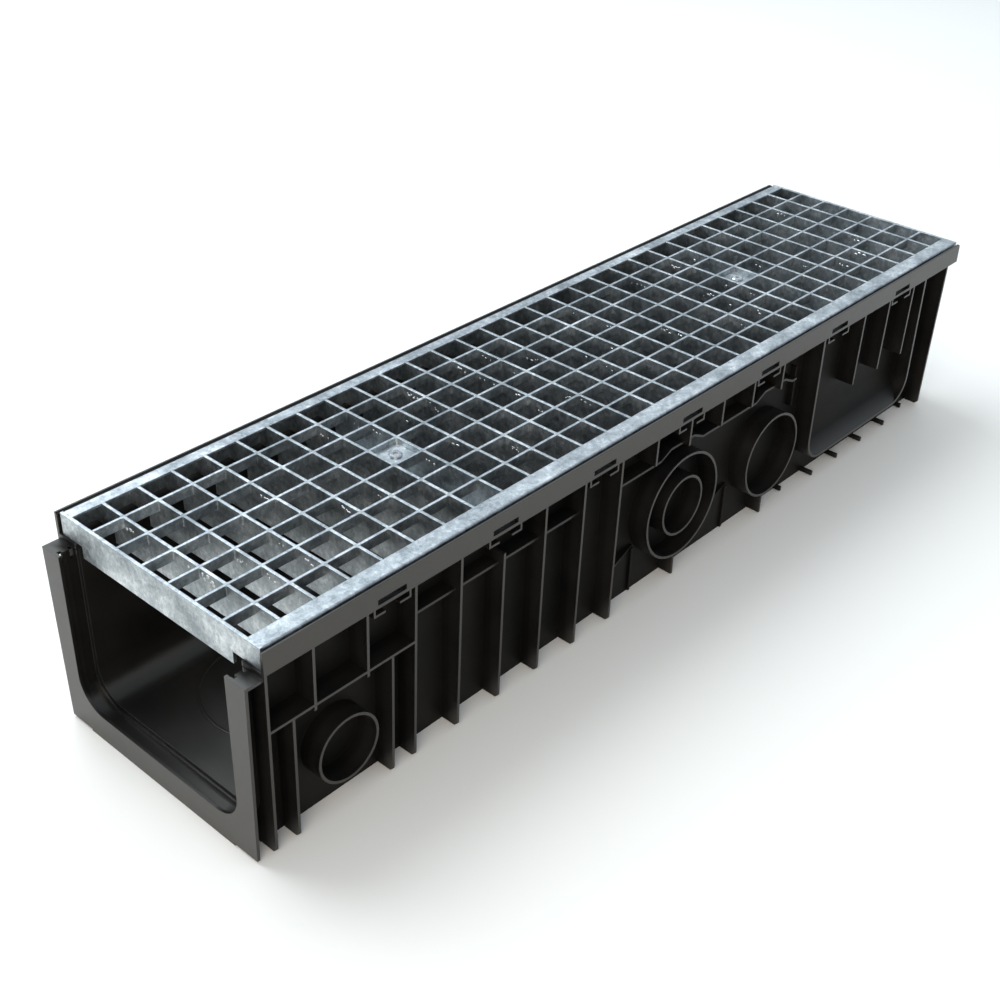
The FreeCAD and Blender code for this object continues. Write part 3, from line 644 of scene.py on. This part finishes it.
def grating_grid():
    """The boxes of the bars and rods in order, and the pitch of each."""
    bars = [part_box(name) for name in BARS]
    rods = sorted((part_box(name) for name in RODS), key=lambda box: box[0].y)
    bar_pitch = (bars[-1][0].x - bars[0][0].x) / (len(bars) - 1)
    rod_pitch = (rods[-1][0].y - rods[0][0].y) / (len(rods) - 1)
    return bars, rods, bar_pitch, rod_pitch


class AddZincWebs(bpy.types.Operator):
    """Adds the zinc that fills the corners where a rod crosses a bar"""
    bl_idname = "channel_drain.add_zinc_webs"
    bl_label = "Zinc in the corners"

    def execute(self, context):
        bars, rods, bar_pitch, rod_pitch = grating_grid()
        x = (bars[0][0].x + bars[0][1].x) / 2
        y = (rods[0][0].y + rods[0][1].y) / 2
        top, bottom = rods[0][1].z - CORNER_GAP, rods[0][0].z
        web = start(bpy.ops.mesh.primitive_cylinder_add, vertices=4, radius=CORNER_RADIUS,
                    depth=top - bottom, end_fill_type="NGON", location=(x, y, (top + bottom) / 2))
        apply_place(web)
        bpy.ops.object.mode_set(mode="EDIT")
        select_faces(web, lambda middle, normal: normal.z < -0.9)
        bpy.ops.transform.resize(value=(CORNER_TAPER, CORNER_TAPER, 1))
        bpy.ops.object.mode_set(mode="OBJECT")
        repeat(web, len(bars), (bar_pitch, 0, 0))
        repeat(web, len(rods), (0, rod_pitch, 0))
        finish(web, "zinc_webs", bpy.data.materials[ZINC])
        return {"FINISHED"}


def drip_shape():
    """A round drop one unit in radius, drawn out below."""
    drip = start(bpy.ops.mesh.primitive_ico_sphere_add, subdivisions=2, radius=1)
    bpy.ops.object.mode_set(mode="EDIT")
    select_faces(drip, lambda middle, normal: middle.z < -0.5)
    bpy.ops.transform.translate(value=(0, 0, -0.7))
    bpy.ops.object.mode_set(mode="OBJECT")
    return drip


class AddZincDrips(bpy.types.Operator):
    """Adds the small drips and dross grains that dipping leaves in the mesh"""
    bl_idname = "channel_drain.add_zinc_drips"
    bl_label = "Zinc drips"

    def execute(self, context):
        chance = random.Random(DRIP_SEED)
        bars, rods, _, pitch = grating_grid()
        shape = drip_shape()
        drips = []
        # Each group hangs below the top edge of one bar, between two rods.
        for _ in range(DRIP_GROUPS):
            bar, rod = chance.choice(bars), chance.choice(rods[:-1])
            size = chance.uniform(*DRIP_SIZE) * MM
            y = rod[1].y + chance.uniform(*DRIP_START) * pitch
            z = rod[1].z - chance.uniform(*DRIP_DEPTH) * MM
            for _ in range(chance.randint(*GROUP_COUNT)):
                drip = copy_at(shape, (bar[0].x, y, z - chance.uniform(*DRIP_SPREAD) * MM))
                drip.scale = (size * DRIP_THICKNESS, size * chance.uniform(*DRIP_LENGTH),
                              size * chance.uniform(*DRIP_HEIGHT))
                drips.append(drip)
                y = min(y + chance.uniform(*DRIP_STEP) * MM, rod[1].y + DRIP_LIMIT * pitch)
        bpy.data.objects.remove(shape)
        for drip in drips:
            apply_place(drip)
        material = highlight_zinc(context.scene.drain_colours)
        finish(join(drips), "zinc_drips", material, angle=80)
        return {"FINISHED"}


# ---------------------------------------------------------------- stage

class AddStage(bpy.types.Operator):
    """Adds the floor, the soft lights and the camera"""
    bl_idname = "channel_drain.add_stage"
    bl_label = "Floor, lights and camera"

    def execute(self, context):
        scene = context.scene
        floor = start(bpy.ops.mesh.primitive_plane_add, size=FLOOR_SIZE, location=(0, 0, -FLOOR_GAP))
        floor.name = "floor"
        apply_place(floor)
        material, _, shader, _ = new_material("floor_paper", Roughness=0.9)
        shader.inputs["Base Color"].default_value = (*scene.drain_colours.floor, 1)
        floor.data.materials.append(material)

        world = bpy.data.worlds.new("studio") if scene.world is None else scene.world
        scene.world = world
        world.use_nodes = True
        background = world.node_tree.nodes["Background"]
        background.inputs["Color"].default_value = SKY_COLOUR
        background.inputs["Strength"].default_value = SKY_STRENGTH

        for name, place, size, power, colour in LAMPS:
            lamp = bpy.data.lights.new(name, "AREA")
            lamp.shape = "DISK"
            lamp.size = size
            lamp.energy = power
            lamp.color = colour
            holder = bpy.data.objects.new(name, lamp)
            context.collection.objects.link(holder)
            holder.location = place
            holder.rotation_euler = (LAMP_TARGET - Vector(place)).to_track_quat("-Z", "Y").to_euler()

        camera = bpy.data.cameras.new("camera")
        camera.lens = scene.drain_sizes.lens
        camera.sensor_width = 36
        camera.clip_start = 0.01
        holder = bpy.data.objects.new("camera", camera)
        context.collection.objects.link(holder)
        holder.location = CAMERA_PLACE
        holder.rotation_euler = [math.radians(angle) for angle in CAMERA_TURN]
        scene.camera = holder
        scene.view_settings.view_transform = "Standard"
        return {"FINISHED"}


# ---------------------------------------------------------------- panel and registration

CLASSES = (DrainColours, DrainSizes, FinishChannel, FinishGrating, FinishBolts, AddLeftSpigots, AddLeftHooks,
           AddOutletDisc, AddSocketShoulder, AddSpigotWebs, AddZincWebs, AddZincDrips, AddStage)
STEPS = ("finish_channel", "finish_grating", "finish_bolts", "add_left_spigots", "add_left_hooks",
         "add_outlet_disc", "add_socket_shoulder", "add_spigot_webs", "add_zinc_webs", "add_zinc_drips",
         "add_stage")


class DrainPanel(bpy.types.Panel):
    """Lists the steps that finish the channel drain"""
    bl_idname = "VIEW3D_PT_channel_drain"
    bl_label = "Channel drain"
    bl_space_type = "VIEW_3D"
    bl_region_type = "UI"
    bl_category = "Channel drain"

    def draw(self, context):
        for step in STEPS:
            self.layout.operator(f"channel_drain.{step}")
        for settings in (context.scene.drain_sizes, context.scene.drain_colours):
            for name in settings.__annotations__:
                self.layout.prop(settings, name)


def register():
    """Registers the classes and the scene's settings."""
    for kind in (*CLASSES, DrainPanel):
        bpy.utils.register_class(kind)
    bpy.types.Scene.drain_colours = bpy.props.PointerProperty(type=DrainColours)
    bpy.types.Scene.drain_sizes = bpy.props.PointerProperty(type=DrainSizes)


def unregister():
    """Removes what register added."""
    del bpy.types.Scene.drain_sizes
    del bpy.types.Scene.drain_colours
    for kind in reversed((*CLASSES, DrainPanel)):
        bpy.utils.unregister_class(kind)


def main():
    """Builds everything in order."""
    register()
    for step in STEPS:
        getattr(bpy.ops.channel_drain, step)()


if __name__ == "__main__":
    main()
